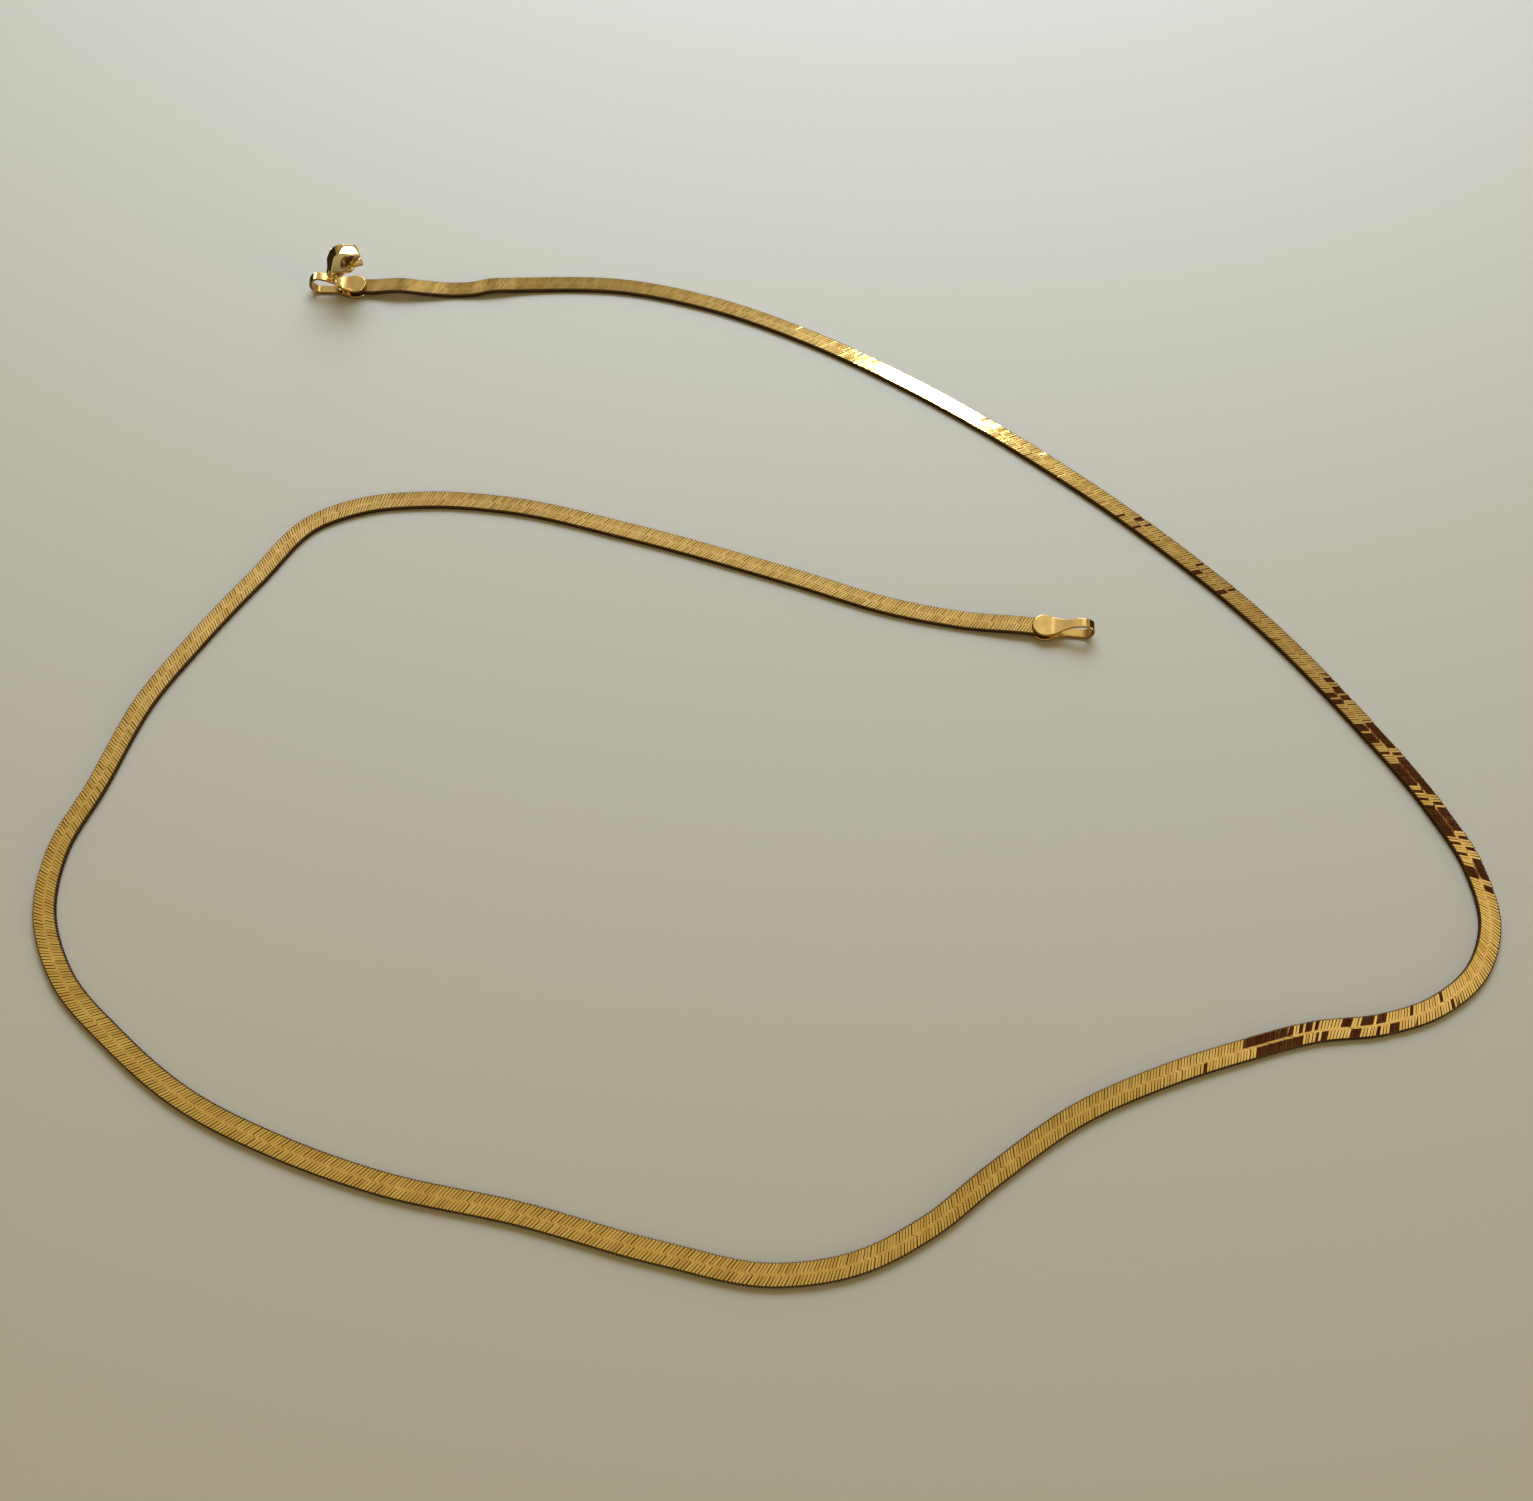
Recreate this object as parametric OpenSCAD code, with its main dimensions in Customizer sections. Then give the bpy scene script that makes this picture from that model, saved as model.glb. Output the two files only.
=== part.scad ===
// Flat herringbone neck chain with folded end tabs and a small lobster clasp.
// The chain is open and lies flat; millimetres, resting on z = 0.

/* [Band] */
// Width of the woven band
band_w = 2.8; // [2.4:0.1:3.2]
// Thickness of the woven band
band_t = 0.75; // [0.6:0.05:0.9]
// Rounding of the band's two edges
band_edge = 0.2; // [0.1:0.05:0.25]

/* [End tabs] */
// Thickness of the sheet that a tab is folded from
tab_t = 0.4; // [0.3:0.05:0.5]
// Length of a tab from its round end to its fold
tab_l = 8.8; // [8.4:0.1:10.6]
// Width of the round end that grips the band
tab_w = 3.5; // [3.2:0.1:4]
// Width of the narrow neck at the fold
neck_w = 1.5; // [1.2:0.1:1.8]
// Length over which the round end narrows to the neck
taper_l = 3.6; // [3:0.1:4.5]
// Outside height of the fold
fold_h = 3.3; // [3.1:0.1:3.8]
// Length of band that a tab grips
grip_l = 2.6; // [2:0.1:3]

/* [Ring] */
// Thickness of the jump ring's wire
ring_wire = 0.6; // [0.5:0.05:0.7]
// Inside diameter of the jump ring
ring_bore = 2.6; // [2.5:0.1:3]
// Distance of the ring past the end of the band
ring_x = 1.7; // [1.6:0.1:2.4]

/* [Clasp] */
// Height of the clasp's nose centre above its tail hole
nose_h = 4.9; // [4.6:0.1:5.4]
// Radius of the nose
nose_r = 2.2; // [2:0.05:2.4]
// Thickness of the clasp over its pin
clasp_t = 2.2; // [2:0.1:2.6]
// Thickness of the clasp at its nose
nose_t = 1.5; // [1.3:0.1:1.8]
// Diameter of the hole in the tail
tail_bore = 1.7; // [1.65:0.05:1.8]
// Wall round the tail hole
tail_wall = 0.5; // [0.4:0.05:0.6]
// Thickness of the tail
tail_t = 0.8; // [0.7:0.05:0.9]
// Height of the shoulders above the tail hole
shoulder_h = 0.15; // [0.1:0.05:0.2]
// Radius of the eye at its wide end
eye_r = 1; // [0.9:0.05:1.1]
// Radius of the eye at its narrow end
eye_low_r = 0.7; // [0.6:0.05:0.8]
// Offset of the eye towards the mouth
eye_x = 0.15; // [0.1:0.05:0.2]
// Drop of the eye's wide end below the nose centre
eye_drop = 0.1; // [0.05:0.05:0.2]
// Metal between the lever's hub and the eye
eye_floor = 0.1; // [0.1:0.05:0.2]

/* [Lever] */
// Thickness of the lever
lever_t = 1; // [0.8:0.05:1.2]
// Diameter of the lever's pin
pin_d = 0.6; // [0.5:0.05:0.7]
// Offset of the pin towards the mouth
pin_x = 0.6; // [0.5:0.05:0.7]
// Height of the pin above the tail's rim
pin_rise = 0.8; // [0.7:0.05:0.9]
// Wall of the lever round its pin
hub_wall = 0.45; // [0.4:0.05:0.5]
// Height of the cheeks above the lever's hub
cheek_h = 0.15; // [0.1:0.05:0.2]
// Height of the lever's tip above the nose centre
tip_rise = 0.75; // [0.65:0.05:0.85]
// Reach of the thumb piece from the pin
thumb_l = 2.9; // [2.4:0.1:3.2]
// Rise of the thumb piece's tip above the pin
thumb_rise = 0.85; // [0.7:0.05:1]
// Radius of the thumb piece at its root
thumb_root_r = 0.65; // [0.6:0.05:0.7]
// Radius of the thumb piece's tip
thumb_r = 0.35; // [0.3:0.05:0.45]

/* [Stance] */
// Lean of the clasp towards the front
lean_deg = 6; // [0:1:14]
// Lean of the clasp towards the chain
side_deg = 31; // [22:1:36]
// Turn of the clasp about its own length
turn_deg = 24; // [12:1:28]

/* [Fits] */
// Gap between pieces that touch or grip
seat_gap = 0.05; // [0.03:0.01:0.08]
// Gap beside the moving lever
lever_gap = 0.08; // [0.06:0.01:0.1]
// Gap round the pin
pin_gap = 0.03; // [0.02:0.01:0.05]

/* [Hidden] */
$fn = 64;

// Height of the band's underside where a tab's lower leaf is under it
end_lift = tab_t + seat_gap;

// Route of the band's middle: x, y and lift of its underside
ROUTE = [
  [-70.6, 77.2, end_lift], [-67, 77.5, end_lift], [-63, 77.6, 1], [-58.5, 77.9, 0.5],
  [-54, 78.4, 0], [-51.3, 78.7, 0.15], [-48.5, 79.3, 0.5], [-44.5, 80.1, 0.2],
  [-39, 80.9, 0], [-28, 81.4, 0], [-14, 79.1, 0], [2.5, 73.2, 0], [18, 65.3, 0],
  [37, 53.2, 0], [54.5, 39.6, 0], [70, 24.8, 0], [82, 9.7, 0], [90, -2.3, 0],
  [94, -11, 0], [94.7, -19, 0], [92.2, -25, 0], [86.5, -30, 0], [79, -33, 0],
  [70.5, -34.5, 0], [61.5, -37.4, 0], [52, -41, 0], [40.5, -46.7, 0],
  [30, -54.6, 0], [22.5, -60.9, 0], [14.5, -65.4, 0], [5, -67.4, 0],
  [-8.5, -65.8, 0], [-25, -62.5, 0], [-42, -60, 0], [-54, -56.8, 0],
  [-67, -51.6, 0], [-76.5, -45.3, 0], [-85, -37.8, 0], [-89.4, -29.5, 0],
  [-90, -21.5, 0], [-87.5, -12, 0], [-84.2, 1.5, 0], [-80, 10.5, 0],
  [-73.7, 22, 0], [-67.5, 32, 0], [-61, 35.5, 0], [-52, 37.3, 0], [-40, 37.3, 0],
  [-22, 34, 0], [2, 28, 0], [17, 23.9, 0], [27, 22.5, 0], [35.3, 22.06, end_lift],
  [38.9, 21.9, end_lift]
];

// Longest step between two rings of the band
ring_step = 3.2;
last = len(ROUTE) - 1;

// Smooth curve through the route: one cubic between each two points
function way(i) = (ROUTE[i + 1] - ROUTE[i]) / norm(ROUTE[i + 1] - ROUTE[i]);
function reach(i) = norm(ROUTE[i + 1] - ROUTE[i]);
function heading(i) =
  i == 0 ? way(0) :
  i == last ? way(last - 1) :
  (way(i - 1) * reach(i) + way(i) * reach(i - 1)) / (reach(i - 1) + reach(i));
function on_route(i, t) =
  (2 * pow(t, 3) - 3 * t * t + 1) * ROUTE[i]
  + (pow(t, 3) - 2 * t * t + t) * reach(i) * heading(i)
  + (3 * t * t - 2 * pow(t, 3)) * ROUTE[i + 1]
  + (pow(t, 3) - t * t) * reach(i) * heading(i + 1);

// The two end stretches lie level in their tabs; nothing dips below the surface
function seated(i, p) = [p[0], p[1], i == 0 || i == last - 1 ? end_lift : max(0, p[2])];
MIDDLE = [
  for (i = [0 : last - 1])
    let (steps = ceil(reach(i) / ring_step))
      for (k = [0 : steps - 1]) seated(i, on_route(i, k / steps)),
  ROUTE[last]
];

// The part's own origin is under the middle of its outline
side_of = [for (k = [0 : len(MIDDLE) - 1]) side(k)];
EDGES = [
  for (k = [0 : len(MIDDLE) - 1])
    for (s = [-1, 1]) MIDDLE[k] + s * band_w / 2 * side_of[k]
];
mid_x = (max([for (p = EDGES) p[0]]) + min([for (p = EDGES) p[0]])) / 2;
mid_y = (max([for (p = EDGES) p[1]]) + min([for (p = EDGES) p[1]])) / 2;

// Level direction across the band at a ring
function flat(v) = [v[0], v[1], 0] / norm([v[0], v[1]]);
function along(k) =
  k == 0 ? way(0) :
  k == len(MIDDLE) - 1 ? way(last - 1) :
  MIDDLE[k + 1] - MIDDLE[k - 1];
function side(k) = let (a = flat(along(k))) [-a[1], a[0], 0];

// Section of the band: eight corners, its long edges cut back
SECTION = [
  [-band_w / 2 + band_edge, 0], [band_w / 2 - band_edge, 0],
  [band_w / 2, band_edge], [band_w / 2, band_t - band_edge],
  [band_w / 2 - band_edge, band_t], [-band_w / 2 + band_edge, band_t],
  [-band_w / 2, band_t - band_edge], [-band_w / 2, band_edge]
];

// Points of an arc round c, from one angle to another
arc_steps = 24;
function arc(c, r, from, to) = [
  for (k = [0 : arc_steps])
    let (a = from + (to - from) * k / arc_steps) c + r * [cos(a), sin(a)]
];

// Sizes of a tab in its own frame: x runs out from the end of the band
round_x = tab_w / 2 - grip_l;
fold_x = tab_l - grip_l - fold_h / 2;
leaf_low = end_lift + band_t + seat_gap;
leaf_rise = fold_h - tab_t - leaf_low;
leaf_steps = 20;

function ease(t) = t <= 0 ? 0 : t >= 1 ? 1 : t * t * (3 - 2 * t);
function leaf_z(x) = leaf_low + leaf_rise * ease(x / fold_x);
function leaf_half(x) = tab_w / 2 - (tab_w - neck_w) / 2 * ease((x - round_x) / taper_l);

// Sizes of the jump ring: it stands on the tab's lower leaf
ring_mid_r = (ring_bore + ring_wire) / 2;
ring_z = tab_t + seat_gap + ring_wire + ring_bore / 2;

// Sizes of the clasp in its own frame: z runs from the tail hole to the nose
tail_r = tail_bore / 2 + tail_wall;
shoulder_z = tail_bore / 2 + shoulder_h;
pin_z = tail_r + pin_rise;
hub_r = pin_d / 2 + hub_wall;
lever_r = nose_h + tip_rise - pin_z;
cheek_top = pin_z + hub_r + cheek_h;
eye_top = nose_h - eye_drop;
eye_low = pin_z + hub_r + lever_gap + eye_floor + eye_low_r;
slot_t = lever_t + 2 * lever_gap;
arm_in = eye_x + eye_r;

// Flat shape of two circles and the straight flanks that touch both
module tapered(a, ra, b, rb) {
  run = norm(b - a);
  turn = atan2(b[1] - a[1], b[0] - a[0]);
  spread = acos((ra - rb) / run);
  polygon(concat(
    arc(a, ra, turn + spread, turn + 360 - spread),
    arc(b, rb, turn - spread, turn + spread)
  ));
}

// Puts a flat x-z shape upright, with its thickness centred on y = 0
module upright(t) {
  rotate([90, 0, 0]) translate([0, 0, -t / 2]) linear_extrude(t) children();
}

// Places a tab's own frame at an end of the route
module at_end(p, dir) {
  translate([p[0] - mid_x, p[1] - mid_y, 0])
    rotate([0, 0, atan2(dir[1], dir[0])]) children();
}
module at_clasp_end() at_end(ROUTE[0], -way(0)) children();
module at_plain_end() at_end(ROUTE[last], way(last - 1)) children();

// Places the clasp's own frame on the wire of the jump ring
module at_clasp() {
  at_clasp_end()
    translate([ring_x, 0, ring_z + ring_mid_r])
      rotate([0, 0, 180])
        rotate([lean_deg, side_deg, 0])
          rotate([0, 0, turn_deg]) children();
}

module woven_band() {
  count = len(SECTION);
  rings = len(MIDDLE);
  corners = [
    for (k = [0 : rings - 1])
      for (c = SECTION)
        MIDDLE[k] + c[0] * side_of[k] + [-mid_x, -mid_y, c[1]]
  ];
  walls = [
    for (k = [0 : rings - 2])
      for (j = [0 : count - 1])
        let (n = (j + 1) % count)
          [k * count + j, (k + 1) * count + j, (k + 1) * count + n, k * count + n]
  ];
  start = [for (j = [0 : count - 1]) j];
  finish = [for (j = [count - 1 : -1 : 0]) (rings - 1) * count + j];
  color("goldenrod") polyhedron(corners, concat([start], walls, [finish]), 4);
}

// Side view of the folded sheet: lower leaf, round fold and rising upper leaf
module tab_side() {
  fold = [fold_x, fold_h / 2];
  leaf = [for (k = [0 : leaf_steps]) let (x = fold_x * k / leaf_steps) [x, leaf_z(x)]];
  polygon(concat(
    [[-grip_l, 0]],
    arc(fold, fold_h / 2, -90, 90),
    [for (k = [leaf_steps - 1 : -1 : 0]) leaf[k] + [0, tab_t]],
    [[-grip_l, leaf_low + tab_t], [-grip_l, leaf_low]],
    [for (k = [0 : leaf_steps - 1]) leaf[k]],
    arc(fold, fold_h / 2 - tab_t, 90, -90),
    [[-grip_l, tab_t]]
  ));
}

// Plan view of the sheet: a round end that narrows to the neck
module tab_plan() {
  out = [for (k = [0 : leaf_steps]) round_x + taper_l * k / leaf_steps];
  polygon(concat(
    arc([round_x, 0], tab_w / 2, 90, 270),
    [for (k = [1 : leaf_steps]) [out[k], -leaf_half(out[k])]],
    [[tab_l, -neck_w / 2], [tab_l, neck_w / 2]],
    [for (k = [leaf_steps : -1 : 1]) [out[k], leaf_half(out[k])]]
  ));
}

module folded_tab() {
  color("goldenrod") intersection() {
    upright(2 * tab_w) tab_side();
    linear_extrude(2 * fold_h, center = true) tab_plan();
  }
}

module plain_tab() at_plain_end() folded_tab();
module clasp_tab() at_clasp_end() folded_tab();

module jump_ring() {
  color("gold") at_clasp_end()
    translate([ring_x, 0, ring_z])
      rotate([0, 90, 0])
        rotate_extrude() translate([ring_mid_r, 0]) circle(ring_wire / 2, $fn = 32);
}

// Front view of the whole clasp, with its tail hole and its eye
module clasp_outline() tapered([0, 0], tail_r, [0, nose_h], nose_r);
module clasp_eye() tapered([eye_x, eye_low], eye_low_r, [eye_x, eye_top], eye_r);

// Side view of the clasp: thin flat tail, shoulders, then thick over the pin
module clasp_flank() {
  translate([-tail_t / 2, -tail_r]) square([tail_t, tail_r + shoulder_z]);
  tapered([0, shoulder_z], tail_t / 2, [0, pin_z], clasp_t / 2);
  tapered([0, pin_z], clasp_t / 2, [0, nose_h + nose_r - nose_t / 2], nose_t / 2);
}

// Where the lever closes the mouth of the hook
module clasp_mouth() {
  intersection() {
    translate([pin_x, pin_z]) circle(lever_r + lever_gap);
    translate([eye_x, cheek_top]) square([2 * nose_r, nose_h]);
  }
}

// Space inside the clasp in which the lever turns
module lever_space() {
  translate([pin_x, pin_z]) circle(hub_r + lever_gap);
  polygon([
    [pin_x, pin_z - hub_r - lever_gap], [pin_x + thumb_l, pin_z - hub_r - lever_gap],
    [pin_x + thumb_l, eye_low], [eye_x - eye_low_r, eye_low],
    [pin_x - hub_r - lever_gap, pin_z]
  ]);
}

module clasp_body() {
  color("gold") at_clasp() difference() {
    intersection() {
      upright(2 * clasp_t) clasp_outline();
      rotate([0, 0, 90]) upright(4 * nose_r) clasp_flank();
    }
    upright(3 * clasp_t) circle(tail_bore / 2);
    upright(3 * clasp_t) clasp_eye();
    upright(3 * clasp_t) clasp_mouth();
    upright(slot_t) lever_space();
    upright(3 * clasp_t) translate([pin_x, pin_z]) circle(pin_d / 2 + pin_gap / 2);
  }
}

// Front view of the lever: hub, arm to the hook's tip and thumb piece
module lever_face() {
  intersection() {
    clasp_outline();
    translate([pin_x, pin_z]) circle(lever_r);
    polygon([
      [pin_x - hub_r / 2, pin_z], [arm_in, eye_low], [arm_in, nose_h + nose_r],
      [2 * nose_r, nose_h + nose_r], [2 * nose_r, pin_z]
    ]);
  }
  translate([pin_x, pin_z]) {
    circle(hub_r);
    tapered([0, 0], thumb_root_r, [thumb_l - thumb_r, thumb_rise], thumb_r);
  }
}

module clasp_lever() {
  color("gold") at_clasp() difference() {
    upright(lever_t) lever_face();
    upright(2 * lever_t) translate([pin_x, pin_z]) circle(pin_d / 2 + pin_gap);
  }
}

module lever_pin() {
  color("goldenrod") at_clasp()
    translate([pin_x, 0, pin_z]) rotate([90, 0, 0])
      cylinder(h = clasp_t, d = pin_d, center = true);
}

woven_band();
plain_tab();
clasp_tab();
jump_ring();
clasp_body();
clasp_lever();
lever_pin();
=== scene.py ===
# %% [markdown]
# A flat herringbone neck chain lies open on a pale surface: a band of about 1,400
# small links, a folded sheet tab at each end, and a lobster clasp on a jump ring.
# The construction model is loaded first and stays fixed. Everything below is built
# round it, in metres, in the same frame: +X right, +Y away from the camera, +Z up.

# %% The fixed frame
import math

import bmesh
import bpy
import numpy as np
from mathutils import Matrix, Vector, geometry, noise


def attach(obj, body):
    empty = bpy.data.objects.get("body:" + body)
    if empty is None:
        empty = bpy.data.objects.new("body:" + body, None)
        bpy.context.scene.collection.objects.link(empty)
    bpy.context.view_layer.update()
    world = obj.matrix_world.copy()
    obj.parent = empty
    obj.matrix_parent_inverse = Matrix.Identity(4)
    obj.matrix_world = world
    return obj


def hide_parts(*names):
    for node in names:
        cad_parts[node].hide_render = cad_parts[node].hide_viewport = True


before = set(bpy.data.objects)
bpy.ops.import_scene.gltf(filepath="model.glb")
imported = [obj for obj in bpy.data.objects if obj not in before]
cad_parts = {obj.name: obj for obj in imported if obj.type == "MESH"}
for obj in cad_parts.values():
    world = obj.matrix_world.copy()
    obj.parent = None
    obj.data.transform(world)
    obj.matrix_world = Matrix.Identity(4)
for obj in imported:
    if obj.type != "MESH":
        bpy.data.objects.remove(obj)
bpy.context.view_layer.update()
MM = 0.001
print("construction nodes:", ", ".join(sorted(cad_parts)))

# %% [markdown]
# The camera comes first, because polished gold shows whatever stands in its mirror
# direction: the lights are later placed from the camera. It looks down at 63
# degrees, a little turned about its own line of sight, from 200 mm away.
# The lens is worked out from the picture's width of 1533 pixels.

# %% Camera
PICTURE_W = 1533
FOCAL_PX = 1480
SENSOR_W = 36
NEAR_CLIP = 10 * MM
ELEVATION = math.radians(62.8154)
TURN = math.radians(3.7274)
DISTANCE = 200.18 * MM
TARGET = Vector((-2.391, -7.013, 0)) * MM

back = Vector((0, -math.cos(ELEVATION), math.sin(ELEVATION)))
level = Vector((1, 0, 0))
upright = back.cross(level)
cam_x = math.cos(TURN) * level + math.sin(TURN) * upright
cam_y = back.cross(cam_x)

camera = bpy.data.objects.new("camera", bpy.data.cameras.new("camera"))
bpy.context.scene.collection.objects.link(camera)
camera.matrix_world = Matrix.Translation(TARGET + back * DISTANCE) @ Matrix(
    (cam_x, cam_y, back)
).transposed().to_4x4()
camera.data.sensor_fit = "HORIZONTAL"
camera.data.sensor_width = SENSOR_W
camera.data.lens = FOCAL_PX * SENSOR_W / PICTURE_W
camera.data.clip_start = NEAR_CLIP
bpy.context.scene.camera = camera
print("camera at", [round(x, 4) for x in camera.location], "lens", round(camera.data.lens, 2))

# %% [markdown]
# Shader maths reads best as sums. This small class wraps a socket of a node tree, so
# that 1 - mask * 0.4 adds its Math nodes. Every other node comes from its one
# method, which takes the node's type, its settings and its sockets.


# %% A socket that can be reckoned with
class Wire:
    """A socket of a node tree, or the tree alone while nothing is wired."""

    def __init__(self, tree, socket=None):
        self.tree = tree
        self.socket = socket

    def node(self, kind, settings=None, sockets=None, out=0):
        """Adds a node of a kind, and gives the wire of one of its outputs."""
        made = self.tree.nodes.new("ShaderNode" + kind)
        for name, value in (settings or {}).items():
            if name == "stops":
                self.fill_ramp(made.color_ramp, value)
            else:
                setattr(made, name, value)
        for name, value in (sockets or {}).items():
            self.plug(made.inputs[name], value)
        return Wire(self.tree, made.outputs[out] if made.outputs else None)

    def plug(self, slot, value):
        if isinstance(value, Wire):
            self.tree.links.new(value.socket, slot)
        else:
            slot.default_value = value

    @staticmethod
    def fill_ramp(ramp, stops):
        while len(ramp.elements) < len(stops):
            ramp.elements.new(0.5)
        for element, (place, colour) in zip(ramp.elements, stops):
            element.position = place
            element.color = (*colour, 1) if len(colour) == 3 else colour

    def maths(self, operation, first, second):
        return self.node("Math", {"operation": operation}, {0: first, 1: second})

    def __add__(self, other):
        return self.maths("ADD", self, other)

    def __radd__(self, other):
        return self.maths("ADD", other, self)

    def __sub__(self, other):
        return self.maths("SUBTRACT", self, other)

    def __rsub__(self, other):
        return self.maths("SUBTRACT", other, self)

    def __mul__(self, other):
        return self.maths("MULTIPLY", self, other)

    def __rmul__(self, other):
        return self.maths("MULTIPLY", other, self)

    def mix(self, first, second):
        """Colour first where this wire is 0, and second where it is 1."""
        return self.node(
            "Mix", {"data_type": "RGBA"}, {"Factor": self, "A": first, "B": second}, "Result"
        )


def opened(owner):
    """The owner's node tree, emptied and ready to be wired."""
    owner.use_nodes = True
    owner.node_tree.nodes.clear()
    return Wire(owner.node_tree)


print("shader maths is ready")

# %% [markdown]
# Yellow gold has no colour of its own in the painter's sense: it tints what it
# mirrors. So each finish is a metal whose base colour is the tint, and its look lies in
# the roughness and in fine relief. Soft patches blend two tints, and on the links each
# bar adds a tone of its own. The ground tops of the links, the sheet tabs and the cast
# clasp are bright. Satin finishes with dark brown tints go on the links' side walls,
# chamfers and rims, the sheet's cut edges, the inside of its folds, the inside of the
# clasp's hook and the core. Their brown is painted shade: it darkens the band's
# edges, the slits between links, and the folds and hollows where shade falls.

# %% Gold finishes
LINK_DARK = (0.70, 0.43, 0.125, 1)
LINK_PALE = (1.0, 0.73, 0.28, 1)
CAST_GOLD = (0.68, 0.50, 0.19, 1)
CAST_PALE = (0.82, 0.64, 0.30, 1)
# Painted shade: the rim and cut-edge tints are dark browns for edges that lie in shade.
RIM_SHADE_DARK = (0.08, 0.045, 0.015, 1)
RIM_SHADE_GOLD = (0.18, 0.11, 0.036, 1)
CUT_SHADE_DARK = (0.17, 0.095, 0.03, 1)
CUT_SHADE_GOLD = (0.36, 0.23, 0.08, 1)
SHEET_DARK = (0.72, 0.46, 0.15, 1)
SHEET_PALE = (1.0, 0.71, 0.28, 1)
# Painted shade: the wall, inner and core tints are dark browns for walls, folds and slits in shade.
WALL_SHADE_GOLD = (0.10, 0.05, 0.016, 1)
WALL_SHADE_BLACK = (0.03, 0.016, 0.008, 1)
INNER_SHADE_GOLD = (0.62, 0.37, 0.12, 1)
INNER_SHADE_DULL = (0.38, 0.21, 0.06, 1)
CORE_SHADE_GOLD = (0.16, 0.08, 0.02, 1)
CORE_SHADE_BLACK = (0.05, 0.025, 0.01, 1)
WORN_PATCH_MM = 4.0
SHEET_PATCH_MM = 1.3
WORN_DETAIL = 3.0
GRAIN_DETAIL = 2.0
TONE_SHARE = 0.6
RELIEF_DEPTH = 0.02 * MM


def gold(
    name, tints, rough, rough_spread, grain_per_mm, relief,
    metal=1.0, toned=False, patch_mm=WORN_PATCH_MM,
):
    """A gold finish: its two tints, its roughness and its grain."""
    material = bpy.data.materials.new(name)
    tree = opened(material)
    place = tree.node("TexCoord", out="Object")
    worn = tree.node(
        "TexNoise", None, {"Vector": place, "Scale": 1 / (patch_mm * MM), "Detail": WORN_DETAIL}
    )
    if toned:
        tone = tree.node("Attribute", {"attribute_name": "tone"}, out="Fac")
        worn = worn * (1 - TONE_SHARE) + tone * TONE_SHARE
    grain = tree.node(
        "TexNoise", None, {"Vector": place, "Scale": grain_per_mm / MM, "Detail": GRAIN_DETAIL}
    )
    bump = tree.node("Bump", None, {"Strength": relief, "Distance": RELIEF_DEPTH, "Height": grain})
    shader = tree.node(
        "BsdfPrincipled",
        None,
        {
            "Base Color": worn.mix(*tints),
            "Metallic": metal,
            "Roughness": rough + (worn - 0.5) * rough_spread,
            "Normal": bump,
        },
    )
    tree.node("OutputMaterial", None, {"Surface": shader})
    return material


link_gold = gold(
    "link_gold", (LINK_DARK, LINK_PALE), rough=0.08, rough_spread=0.05,
    grain_per_mm=9.0, relief=0.03, toned=True,
)
# Painted shade: the links' side walls, dark where the band's edges and the slits between links lie
# in shade.
wall_shade_gold = gold(
    "wall_shade_gold", (WALL_SHADE_BLACK, WALL_SHADE_GOLD), rough=0.50, rough_spread=0.10,
    grain_per_mm=9.0, relief=0.10,
)
# Painted shade: the links' rims and chamfers, dark brown along the band's edges and slits.
rim_shade_gold = gold(
    "rim_shade_gold", (RIM_SHADE_DARK, RIM_SHADE_GOLD), rough=0.42, rough_spread=0.10,
    grain_per_mm=9.0, relief=0.10,
)
# Painted shade: the tabs' cut edges and the inner wall of the clasp's hook, dark brown.
cut_shade_gold = gold(
    "cut_shade_gold", (CUT_SHADE_DARK, CUT_SHADE_GOLD), rough=0.42, rough_spread=0.10,
    grain_per_mm=9.0, relief=0.10,
)
# Painted shade: the core seen between the links, nearly black brown.
core_shade_gold = gold(
    "core_shade_gold", (CORE_SHADE_BLACK, CORE_SHADE_GOLD), rough=0.50, rough_spread=0.10,
    grain_per_mm=4.0, relief=0.10, metal=0.6,
)
sheet_gold = gold(
    "sheet_gold", (SHEET_DARK, SHEET_PALE), rough=0.20, rough_spread=0.12,
    grain_per_mm=6.0, relief=0.14, patch_mm=SHEET_PATCH_MM,
)
# Painted shade: the inside of the tabs' folds, darker than their outside.
inner_shade_gold = gold(
    "inner_shade_gold", (INNER_SHADE_DULL, INNER_SHADE_GOLD), rough=0.30, rough_spread=0.10,
    grain_per_mm=6.0, relief=0.10,
)
cast_gold = gold(
    "cast_gold", (CAST_GOLD, CAST_PALE), rough=0.09, rough_spread=0.05,
    grain_per_mm=3.0, relief=0.05,
)
link_finishes = (link_gold, wall_shade_gold, rim_shade_gold)
core_finishes = (core_shade_gold,)
tab_finishes = (sheet_gold, inner_shade_gold, cut_shade_gold)
cast_finishes = (cast_gold, cut_shade_gold)
finishes = set(link_finishes + core_finishes + tab_finishes + cast_finishes)
print("finishes:", ", ".join(sorted(finish.name for finish in finishes)))

# %% [markdown]
# The band follows a route of a few points, in millimetres: along, away and the lift
# of its underside. A smooth curve runs through them, level inside the two tabs. One
# Bezier span between each two points gives it, and its length is measured along
# the way, because the links sit at even steps of length.

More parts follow.
